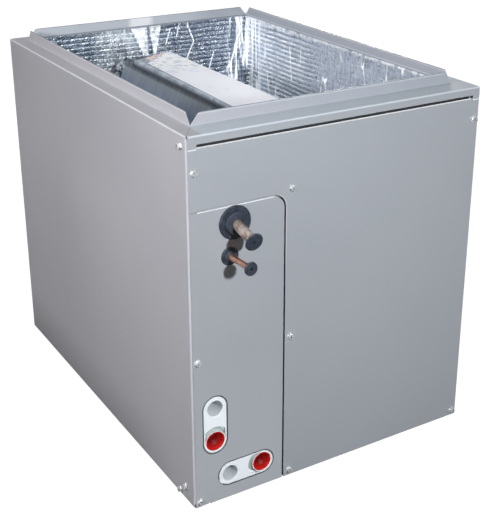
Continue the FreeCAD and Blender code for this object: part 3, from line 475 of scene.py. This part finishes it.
def apex_sheet():
    """Pinkish white sheet with a faint painted glow of light, dull along the left slab's ridge and dark or
    coppery past a slanting cut, where the glow is off as on its rim.
    """
    s = Shader("apex_sheet", roughness=0.45)
    clouds = s.noise(22.0, detail=5.0, roughness=0.6)
    skin = s.ramp(clouds, (0.35, (0.86, 0.87, 0.94)), (0.62, (0.93, 0.94, 1.0)))
    past_cut = s.minus(s.minus(s.y, ridge_rear), s.product(s.minus(s.x, cut_x), cut_slope))
    rear_end = s.between(past_cut, 0.0, cut_soft)
    stains = s.noise(70.0, detail=4.0, roughness=0.7)
    dark_end = s.ramp(stains, (0.4, (0.10, 0.12, 0.15)), (0.6, (0.42, 0.47, 0.53)))
    gleams = s.noise(95.0, detail=4.0, roughness=0.7)
    copper_end = s.ramp(gleams, (0.42, (0.50, 0.30, 0.24)), (0.54, (0.92, 0.86, 0.86)))
    ridge = s.between(s.y, ridge_front, ridge_rear, apex_low.x + ridge_inset, apex_low.x + ridge_rear_inset)
    from_ridge = s.minus(s.x, ridge)
    strip = s.between(from_ridge, *ridge_strip)
    strip_skin = s.ramp(s.noise(38.0), (0.40, (0.36, 0.41, 0.47)), (0.60, (0.60, 0.66, 0.74)))
    ridge_line = s.band(from_ridge, -0.0008, half=0.0008, soft=0.0008)
    rim = s.where(x=apex_rim)
    shades = apex_wear(s) + [
        (rear_end, 1.0, s.mix(s.where(x=copper_start), dark_end, copper_end)),
        (strip, 1.0, strip_skin),
        (ridge_line, 1.0, (0.22, 0.27, 0.32)),
        (rim, 1.0, (0.14, 0.17, 0.21)),
    ]
    # The glow paints light on the sheet, apart from the ridge strip, the rim and the rear end
    s.feed(s.main, Base_Color=s.layered(skin, shades),
           Normal=s.bump(s.noise(30.0, detail=4.0), distance=0.0012, strength=0.4),
           Emission_Color=(0.95, 0.95, 1.0),
           Emission_Strength=s.switched(s.most(strip, rim, rear_end), off=painted_apex_glow, on=0.0))
    return s.material


def sparkle_painted():
    """The rear tube sheet's edge, painted with glints and dark specks of shade by turns, so that it sparkles
    like foil.
    """
    s = Shader("crinkled_sheet", roughness=0.3, metallic=0.6)
    # Painted glints and painted shade in small flecks
    flecks = s.ramp(s.noise(150.0, roughness=0.7), (0.46, (0.05, 0.06, 0.08)), (0.52, (0.45, 0.50, 0.56)),
                    (0.60, (0.97, 0.98, 1.0)))
    s.feed(s.main, Base_Color=flecks, Normal=s.bump(s.noise(90.0), distance=0.003, strength=0.6))
    return s.material


def fins():
    """The bright edges of thin aluminium fins, with painted light near the top and painted shade just under
    the apex plate.
    """
    s = Shader("fin_aluminium", roughness=0.36, metallic=0.8)
    streaks = s.noise((20.0, 110.0, 3.0))
    face = s.ramp(streaks, (0.35, (0.64, 0.71, 0.84)), (0.7, (0.84, 0.92, 1.0)))
    under_lip = s.product(s.where(z=shaded_fins), s.between(streaks, 0.3, 0.6, to_low=0.75, to_high=0.5))
    # Painted light on the fins' upper part and painted shade just under the apex plate
    s.feed(s.main, Base_Color=s.layered(face, [
        (s.where(z=lit_fins), 0.8, white),
        (under_lip, 1.0, (0.20, 0.23, 0.28)),
    ]))
    return s.material


def fin_shade_core():
    """A dark core that paints the shade between the fins."""
    return Shader("fin_shade_core", roughness=0.8, colour=(0.22, 0.26, 0.32)).material


# Foil

# Strength of the glow that paints the foil's glints and highlights
painted_glint_glow = 0.30
back_pad = (0.3440, 0.3450)
right_pad = (0.2490, 0.2500)
right_near_end = (0.12, 0.06)
right_rear = (0.10, 0.16)
right_top = (0.5975, 0.6000)
back_uncreased = (0.200, 0.190)
back_pale = (-0.055, 0.024, 0.032)
rib_pitch = 0.0095
rib_sway = 0.010
wedge_heights = (0.554, 0.607)
wedge_end = (0.545, 0.552)
wedge_sides = (
    ((0.0016, -0.0230), (0.0150, 0.0127)),
    ((0.0256, 0.0181), (0.0334, 0.0451)),
)
crease_lines = (
    (((0.0652, 0.597), (0.0541, 0.565)), 0.0008),
    (((0.0850, 0.602), (0.0798, 0.580)), 0.0004),
    (((0.1059, 0.609), (0.1056, 0.5945)), 0.0012),
    (((0.1090, 0.592), (0.1189, 0.566), (0.1016, 0.530)), 0.0011),
    (((0.1659, 0.538), (0.1533, 0.500)), 0.0009),
)


class Foil(Shader):
    """The foil's node tree, with the masks and the textures that its parts share."""

    def __init__(self):
        super().__init__("foil_facing", roughness=0.25, metallic=1.0)
        level = self.plus(self.z, self.product(self.noise(11.0, detail=2.0), rib_sway))
        self.rib = self.math("SINE", self.product(level, 2 * math.pi / rib_pitch))
        self.on_back = self.where(y=back_pad)
        self.on_right = self.where(x=right_pad)
        self.near_end = self.product(self.on_right, self.where(y=right_near_end))
        self.pale = self.product(self.on_back, self.near(x=back_pale))
        self.specks = self.noise(350.0, detail=1.0)
        self.flake = self.noise((95.0, 95.0, 38.0), detail=5.0, roughness=0.7, distortion=0.4)
        self.upright = self.noise((110.0, 110.0, 10.0), detail=4.0, roughness=0.65)

    def by_corner(self, back_x, right_y):
        """A mask of both pads near the rear right corner where they meet."""
        return self.most(self.product(self.on_back, self.where(x=back_x)),
                         self.product(self.on_right, self.where(y=right_y)))


def wedges(s):
    """Two patches of smooth foil side by side on the back pad, each narrower towards the coil."""
    made = []
    for (left_foot, left_top), (right_foot, right_top) in wedge_sides:
        from_left = s.minus(s.x, s.between(s.z, *wedge_heights, left_foot, left_top))
        from_right = s.minus(s.x, s.between(s.z, *wedge_heights, right_foot, right_top))
        made.append(s.product(s.between(from_left, -0.0010, 0.0015), s.between(from_right, 0.0010, -0.0015)))
    return s.product(s.most(*made), s.where(z=wedge_end))


def rib_glints(s):
    """Small painted glints, brightest on the ribs and weaker on the right pad."""
    return s.product(s.between(s.specks, 0.585, 0.62), s.between(s.rib, -0.7, 0.3, to_low=0.35),
                     s.flecks(25.0, 0.35, 0.55, weak=0.3), s.switched(s.on_right, off=1.0, on=0.55))


def back_crease_glints(s):
    """Painted highlights on the back pad: its smooth wedges, the haze on its pale part and its largest
    creases.
    """
    grain = s.flecks(120.0, 0.38, 0.58, detail=4.0, roughness=0.7, weak=0.30, strong=0.95)
    smooth = s.product(s.on_back, wedges(s), grain)
    haze = s.product(s.pale, s.between(s.flake, 0.47, 0.62, to_low=0.05, to_high=0.5))
    lines = s.most(*[s.drawn(s.x, s.z, points, half) for points, half in crease_lines])
    broken = s.between(s.specks, 0.36, 0.52, to_low=0.4)
    return s.most(smooth, haze, s.product(s.on_back, broken, lines))


def corner_crumple_glints(s):
    """Painted highlights on the upright crumples in the rear right corner."""
    corner = s.by_corner(back_x=(0.196, 0.206), right_y=(0.285, 0.31))
    return s.product(corner, s.between(s.upright, 0.49, 0.54), s.between(s.flake, 0.38, 0.50, to_low=0.5))


def right_scrim_glints(s):
    """Painted highlights on the right pad's ribs in its rear part, and painted light along its top."""
    ribs = s.product(s.where(y=right_rear), s.between(s.rib, 0.45, 0.95),
                     s.flecks(40.0, 0.42, 0.55, weak=0.1, strong=0.8))
    top = s.product(s.where(z=right_top), s.flecks(60.0, 0.40, 0.55, weak=0.2, strong=0.8))
    return s.product(s.on_right, s.most(ribs, top))


def long_crease_glints(s):
    """Painted highlights on long upright creases on all pads, but for most of the back one."""
    edges = s.cells((17.0, 17.0, 4.5), feature="DISTANCE_TO_EDGE")
    uncreased = s.product(s.on_back, s.where(x=back_uncreased))
    return s.product(s.between(edges, 0.026, 0.010), s.flecks(21.0, 0.47, 0.58),
                     s.switched(uncreased, off=1.0, on=0.0))


def hollow_shade(s):
    """Painted shade between the ribs, in the right pad's near wrinkles, in patches and in the corner."""
    valleys = s.product(s.between(s.rib, -0.2, -0.9), s.switched(s.near_end, off=0.65, on=0.08))
    wrinkles = s.product(s.near_end, s.flecks((170.0, 170.0, 30.0), 0.50, 0.40, detail=4.0, roughness=0.7))
    patches = s.flecks(110.0, 0.42, 0.34, roughness=0.7)
    corner = s.by_corner(back_x=(0.205, 0.225), right_y=(0.30, 0.32))
    gaps = s.product(corner, s.between(s.upright, 0.47, 0.42))
    darkest = s.most(valleys, s.product(wrinkles, 0.4), s.product(patches, 0.8), s.product(gaps, 0.85))
    return s.product(darkest, s.switched(s.on_right, off=1.0, on=0.75), s.switched(s.pale, off=1.0, on=0.6))


def foil():
    """Foil facing over a scrim: fine ribs full of painted glints, painted highlights on its crumples and
    creases, painted shade in its hollows, and painted light on the back pad's pale band and on the right
    pad.
    """
    s = Foil()
    bright = s.most(rib_glints(s), back_crease_glints(s), corner_crumple_glints(s), right_scrim_glints(s), long_crease_glints(s))
    # Painted light on the back pad's pale band and on the right pad, painted shade in the hollows and
    # painted glints and highlights over all
    tone = s.layered(s.mix(s.noise(7.0), (0.33, 0.40, 0.51), (0.53, 0.61, 0.73)), [
        (s.pale, 0.65, (0.74, 0.85, 0.95)),
        (s.on_right, 1.0, (0.77, 0.85, 0.96)),
        (hollow_shade(s), 1.0, (0.07, 0.095, 0.14)),
        (bright, 1.0, (0.97, 0.98, 1.0)),
    ])
    ribs = s.product(s.between(s.rib, 0.2, 0.9), s.switched(s.near_end, off=1.0, on=0.1))
    dents = s.noise(30.0, detail=4.0, roughness=0.6, distortion=0.3)
    normal = s.bump(ribs, distance=0.0010, strength=0.4)
    normal = s.bump(dents, distance=0.0045, strength=0.45, over=normal)
    normal = s.bump(s.noise(190.0), distance=0.0016, strength=0.6, over=normal)
    # The painted glints and highlights, and part of the right pad, are not metal; the glints and highlights
    # also glow
    mirror_free = s.most(bright, s.product(s.on_right, 0.45))
    s.feed(s.main, Base_Color=tone, Normal=normal, Metallic=s.switched(mirror_free, off=1.0, on=0.0),
           Roughness=s.flecks(16.0, 0.35, 0.7, detail=2.0, weak=0.22, strong=0.40),
           Emission_Color=(0.94, 0.97, 1.0), Emission_Strength=s.product(bright, painted_glint_glow))
    return s.material


# Pipes, ports and screws

suction_root = (-0.395, -0.372)
plug_depths = (-0.3590, -0.350)
block_depths = (-0.3616, -0.340)
block_edge_half = 0.0006
crescent_inside = (0.0174, 0.0180)
crescent_outside = (0.0186, 0.0180)
crescent_shift = 0.0055


def copper():
    """Drawn copper, bright orange with a few darker heat marks."""
    s = Shader("copper", roughness=0.3, metallic=1.0)
    skin = s.ramp(s.noise(60.0, detail=4.0), (0.32, (0.58, 0.28, 0.18)), (0.7, (0.95, 0.55, 0.42)))
    s.feed(s.main, Base_Color=skin, Roughness=s.flecks(45.0, 0.3, 0.7, weak=0.24, strong=0.45))
    return s.material


def dull_copper():
    """Copper tube that has weathered to a mottled greyish tan, darker at its root."""
    s = Shader("dull_copper", roughness=0.42, metallic=0.55)
    stain = s.noise(75.0, detail=5.0, roughness=0.6)
    tan = s.ramp(stain, (0.40, (0.20, 0.14, 0.10)), (0.52, (0.42, 0.35, 0.31)), (0.66, (0.60, 0.53, 0.51)))
    s.feed(s.main, Base_Color=s.layered(tan, [(s.where(y=suction_root), 0.55, (0.16, 0.12, 0.08))]))
    return s.material


def brass():
    """Machined brass, unevenly tarnished."""
    s = Shader("brass", roughness=0.3, metallic=1.0)
    s.feed(s.main, Base_Color=s.ramp(s.noise(40.0), (0.3, (0.52, 0.37, 0.16)), (0.7, (0.70, 0.52, 0.26))))
    return s.material


def white_plastic():
    """White moulded plastic, with painted shade that deepens where the port blocks run behind the panel's
    holes, darkest along their edges, and in a crescent beside each plug.
    """
    s = Shader("pan_plastic", roughness=0.38)
    behind = s.where(y=(panel_low.y + 0.0007, panel_low.y + 0.0009))
    edges, crescent_shade = [], []
    for across, centre, along, middle, plug_side in port_frames(s.x, s.z):
        from_block = s.from_block(across, centre, along, middle)
        edges.append(s.band(from_block, port_block, block_edge_half, soft=0.0002))
        off = s.minus(across, centre)
        past = s.minus(along, middle + plug_side * port_half_spacing)
        toward_middle = s.plus(past, plug_side * crescent_shift)
        crescent_shade.append(s.product(s.between(s.distance(off, past), *crescent_inside),
                                   s.between(s.distance(off, toward_middle), *crescent_outside)))
    # Painted shade behind the panel's holes, along the blocks' edges and in the crescents
    in_shade = s.product(behind, s.between(s.y, *block_depths, to_low=0.1, to_high=0.6))
    skin = s.layered(s.mix(in_shade, (0.88, 0.90, 0.92), (0.56, 0.59, 0.62)), [
        (s.most(*crescent_shade), 1.0, (0.36, 0.40, 0.38)),
        (s.product(behind, s.most(*edges)), 1.0, (0.02, 0.022, 0.025)),
    ])
    s.feed(s.main, Base_Color=skin, Normal=s.bump(s.noise(500.0, detail=2.0), distance=0.0001, strength=0.2))
    return s.material


def red_plastic():
    """Red moulded plastic, with painted shade deep inside the plugs."""
    s = Shader("plug_red", roughness=0.45)
    skin = s.ramp(s.noise(30.0), (0.3, (0.56, 0.012, 0.010)), (0.7, (0.66, 0.022, 0.020)))
    # Painted shade deep inside the plugs
    s.feed(s.main, Base_Color=s.mix(s.where(y=plug_depths), skin, (0.15, 0.003, 0.003)),
           Specular_IOR_Level=0.12)
    return s.material


def rubber():
    """Soft black rubber with a slightly dusty face."""
    s = Shader("black_rubber", roughness=0.55)
    dust = s.ramp(s.noise(120.0, detail=4.0), (0.35, (0.011, 0.015, 0.025)), (0.7, (0.034, 0.043, 0.066)))
    s.feed(s.main, Base_Color=dust, Normal=s.bump(s.noise(300.0), distance=0.0003, strength=0.4))
    return s.material


def zinc():
    """Zinc plating painted bright for its glints, with small dark flecks of painted shade."""
    s = Shader("screw_zinc", roughness=0.28, metallic=0.7)
    spots = s.noise(430.0, detail=2.0, roughness=0.6)
    # Painted glints and painted shade in small flecks
    plate = s.ramp(spots, (0.40, (0.06, 0.075, 0.09)), (0.46, (0.95, 0.96, 0.98)))
    s.feed(s.main, Base_Color=plate, Roughness=s.flecks(90.0, 0.3, 0.7, weak=0.2, strong=0.4))
    return s.material


# The material of each CAD node

def dress(material, *names):
    """Gives CAD nodes a material in place of the imported one."""
    for name in names:
        mesh = nodes[name].data
        mesh.materials.clear()
        mesh.materials.append(material)


def both(*names):
    """The left and the right node of each name."""
    return [side + name for name in names for side in ("left_", "right_")]


def dress_all():
    """Every CAD node's material, apart from the fin packs, which fins replace."""
    dress(paint(), "back_panel", "front_top_rail", "front_bottom_rail", "access_door", "piping_panel",
          *both("side_panel"))
    dress(galvanised(), "front_delta_plate", "rear_delta_plate", *both("pan_rail", "front_tube_sheet"))
    dress(sparkle_painted(), *both("rear_tube_sheet"))
    dress(apex_sheet(), "apex_plate")
    dress(foil(), "back_liner", "door_liner", "piping_panel_liner", *both("liner"))
    dress(copper(), "liquid_line", "feeder_tubes", *both("circuits", "suction_header"))
    dress(dull_copper(), "suction_line")
    dress(brass(), "metering_body", "distributor")
    dress(white_plastic(), "main_drain_pan", "front_drain_trough", "rear_drain_trough", "side_drain_pan",
          *both("drain_trough"))
    dress(red_plastic(), "main_drain_plug", "side_drain_plug")
    dress(rubber(), "suction_grommet", "liquid_grommet", "suction_plug", "liquid_plug")
    dress(zinc(), "front_screws", "side_screws", "back_screws")


# Fins

level_digits = 5
fin_pitch = 0.0021
fin_thickness = 0.0005
fin_setback = 0.004
core_margin = 0.0002


def slab_outline(node):
    """The slab's four corners in the XZ plane, round from the outer foot, and its depth range."""
    low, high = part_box(node)
    points = [v.co for v in nodes[node].data.vertices]
    side = -1 if low.x + high.x < 0 else 1
    outer_foot = max(points, key=lambda p: (round(side * p.x, level_digits), p.y))
    inner_foot = min(points, key=lambda p: (round(p.z, level_digits), p.y))
    outer_top = max(points, key=lambda p: (round(p.z, level_digits), p.y))
    inner_top = outer_top + inner_foot - outer_foot
    corners = [Vector((p.x, p.z)) for p in (outer_foot, inner_foot, inner_top, outer_top)]
    return corners, low.y, high.y


def shrunk(corners, inset):
    """The outline drawn in by some distance across the slab's thickness only."""
    outer_foot, inner_foot, inner_top, outer_top = corners
    across = (inner_foot - outer_foot).normalized() * inset
    return [outer_foot + across, inner_foot - across, inner_top - across, outer_top + across]


def prism(corners, low, high, verts, faces):
    """Adds a block with the given XZ outline between two depths."""
    start = len(verts)
    count = len(corners)
    for y in (low, high):
        verts += [(corner.x, y, corner.y) for corner in corners]
    faces.append([start + i for i in range(count)])
    faces.append([start + count + i for i in reversed(range(count))])
    for i in range(count):
        after = (i + 1) % count
        faces.append([start + i, start + count + i, start + count + after, start + after])


def add_mesh(name, verts, faces, material, body="root"):
    """A new piece that rides on a body."""
    mesh = bpy.data.meshes.new(name)
    mesh.from_pydata(verts, [], faces)
    mesh.validate()
    mesh.update()
    made = bpy.data.objects.new(name, mesh)
    bpy.context.scene.collection.objects.link(made)
    mesh.materials.append(material)
    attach(made, body)
    return made


def fin_slab(side, fin_material, fin_shade_material):
    """One slab's fins as thin plates on a dark core that paints the shade between them."""
    node = side + "_fin_pack"
    corners, low, high = slab_outline(node)
    verts, faces = [], []
    count = int((high - low) / fin_pitch)
    step = (high - low - fin_thickness) / (count - 1)
    for i in range(count):
        prism(corners, low + i * step, low + i * step + fin_thickness, verts, faces)
    made = add_mesh(side + "_fins", verts, faces, fin_material)
    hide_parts(node)
    verts, faces = [], []
    prism(shrunk(corners, fin_setback), low + core_margin, high - core_margin, verts, faces)
    core = add_mesh(side + "_fin_shade_core", verts, faces, fin_shade_material)


# Stage and light

floor_size = 14.0
floor_glow = 1.2
floor_whiteness = 0.86
mirrored_sky = 0.55
diffuse_sky = 0.06
cool = (0.92, 0.975, 1.0)
rosy = (1.0, 0.975, 0.98)


def floor():
    """A pale floor that looks nearly white to the camera and takes soft shadows."""
    bpy.ops.mesh.primitive_plane_add(size=floor_size, location=(0, 0, 0))
    made = bpy.context.object
    made.name = "floor"
    s = Shader("floor_pale", roughness=0.9, colour=(0.15, 0.15, 0.15))
    glow = s.feed(s.node("ShaderNodeEmission"), Color=white, Strength=floor_glow)
    seen = s.node("ShaderNodeLightPath").outputs["Is Camera Ray"]
    blend = s.node("ShaderNodeMixShader")
    for index, value in enumerate((s.product(seen, floor_whiteness), s.main.outputs[0], glow.outputs[0])):
        s.put(value, blend.inputs[index])
    s.put(blend.outputs[0], s.tree.nodes["Material Output"].inputs["Surface"])
    made.data.materials.append(s.material)


def sky():
    """White to the camera, and a soft grey room to everything else."""
    world = bpy.data.worlds.new("studio")
    world.use_nodes = True
    bpy.context.scene.world = world
    studio = Tree(world.node_tree)
    ray = studio.node("ShaderNodeLightPath").outputs
    room = studio.plus(studio.product(ray["Is Glossy Ray"], mirrored_sky - diffuse_sky), diffuse_sky)
    studio.feed(world.node_tree.nodes["Background"], Color=white,
                Strength=studio.most(ray["Is Camera Ray"], room))


def area_light(name, place, aim, size, power, colour=white):
    """A round lamp that faces the place it is aimed at."""
    data = bpy.data.lights.new(name, "AREA")
    data.shape = "DISK"
    data.size = size
    data.energy = power
    data.color = colour
    made = bpy.data.objects.new(name, data)
    bpy.context.scene.collection.objects.link(made)
    made.location = place
    made.rotation_mode = "QUATERNION"
    made.rotation_quaternion = (Vector(aim) - Vector(place)).to_track_quat("-Z", "Y")


def lights():
    """Two cool lamps in front, a faintly pink one at the left, and soft ones above and behind."""
    pipes = (-0.15, -0.36, 0.42)
    left_side = (-0.27, -0.15, 0.40)
    area_light("key", place=(-0.20, -1.62, 0.99), aim=pipes, size=0.08, power=12.9, colour=cool)
    area_light("far key", place=(-0.215, -3.2, 1.69), aim=pipes, size=0.2, power=43.0, colour=cool)
    area_light("side", place=(-1.36, -0.38, 0.96), aim=left_side, size=0.22, power=16.3, colour=rosy)
    area_light("top", place=(-0.6, 0.4, 2.1), aim=(0.0, 0.0, 0.6), size=1.2, power=12.0)
    area_light("back", place=(1.5, 1.7, 0.75), aim=(0.0, 0.0, 0.35), size=0.6, power=35.0)


# Camera

picture = (490, 520)
focal_pixels = 1054.7
centre_pixel = (275.0, 208.0)
camera_place = (-0.8905, -1.5849, 1.0430)
look_azimuth = math.radians(32.12)
look_down = math.radians(21.36)
look_roll = math.radians(0.41)
sensor = 36.0
nearest_seen = 0.02


def camera():
    """The photograph's viewpoint, fitted to the cabinet's corners."""
    data = bpy.data.cameras.new("photo_camera")
    data.sensor_width = sensor
    data.lens = focal_pixels / max(picture) * sensor
    data.shift_x = (picture[0] / 2 - centre_pixel[0]) / max(picture)
    data.shift_y = (centre_pixel[1] - picture[1] / 2) / max(picture)
    data.clip_start = nearest_seen
    made = bpy.data.objects.new("photo_camera", data)
    bpy.context.scene.collection.objects.link(made)
    forward = Vector((math.sin(look_azimuth) * math.cos(look_down),
                      math.cos(look_azimuth) * math.cos(look_down), -math.sin(look_down)))
    right = forward.cross(Vector((0, 0, 1))).normalized()
    up = right.cross(forward)
    turned_right = right * math.cos(look_roll) + up * math.sin(look_roll)
    turned_up = up * math.cos(look_roll) - right * math.sin(look_roll)
    turn = Matrix((turned_right, turned_up, -forward)).transposed()
    made.matrix_world = Matrix.Translation(camera_place) @ turn.to_4x4()
    bpy.context.scene.camera = made


dress_all()
fin_material = fins()
fin_shade_material = fin_shade_core()
for side in ("left", "right"):
    fin_slab(side, fin_material, fin_shade_material)
floor()
sky()
lights()
camera()
bpy.context.scene.view_settings.view_transform = "Standard"
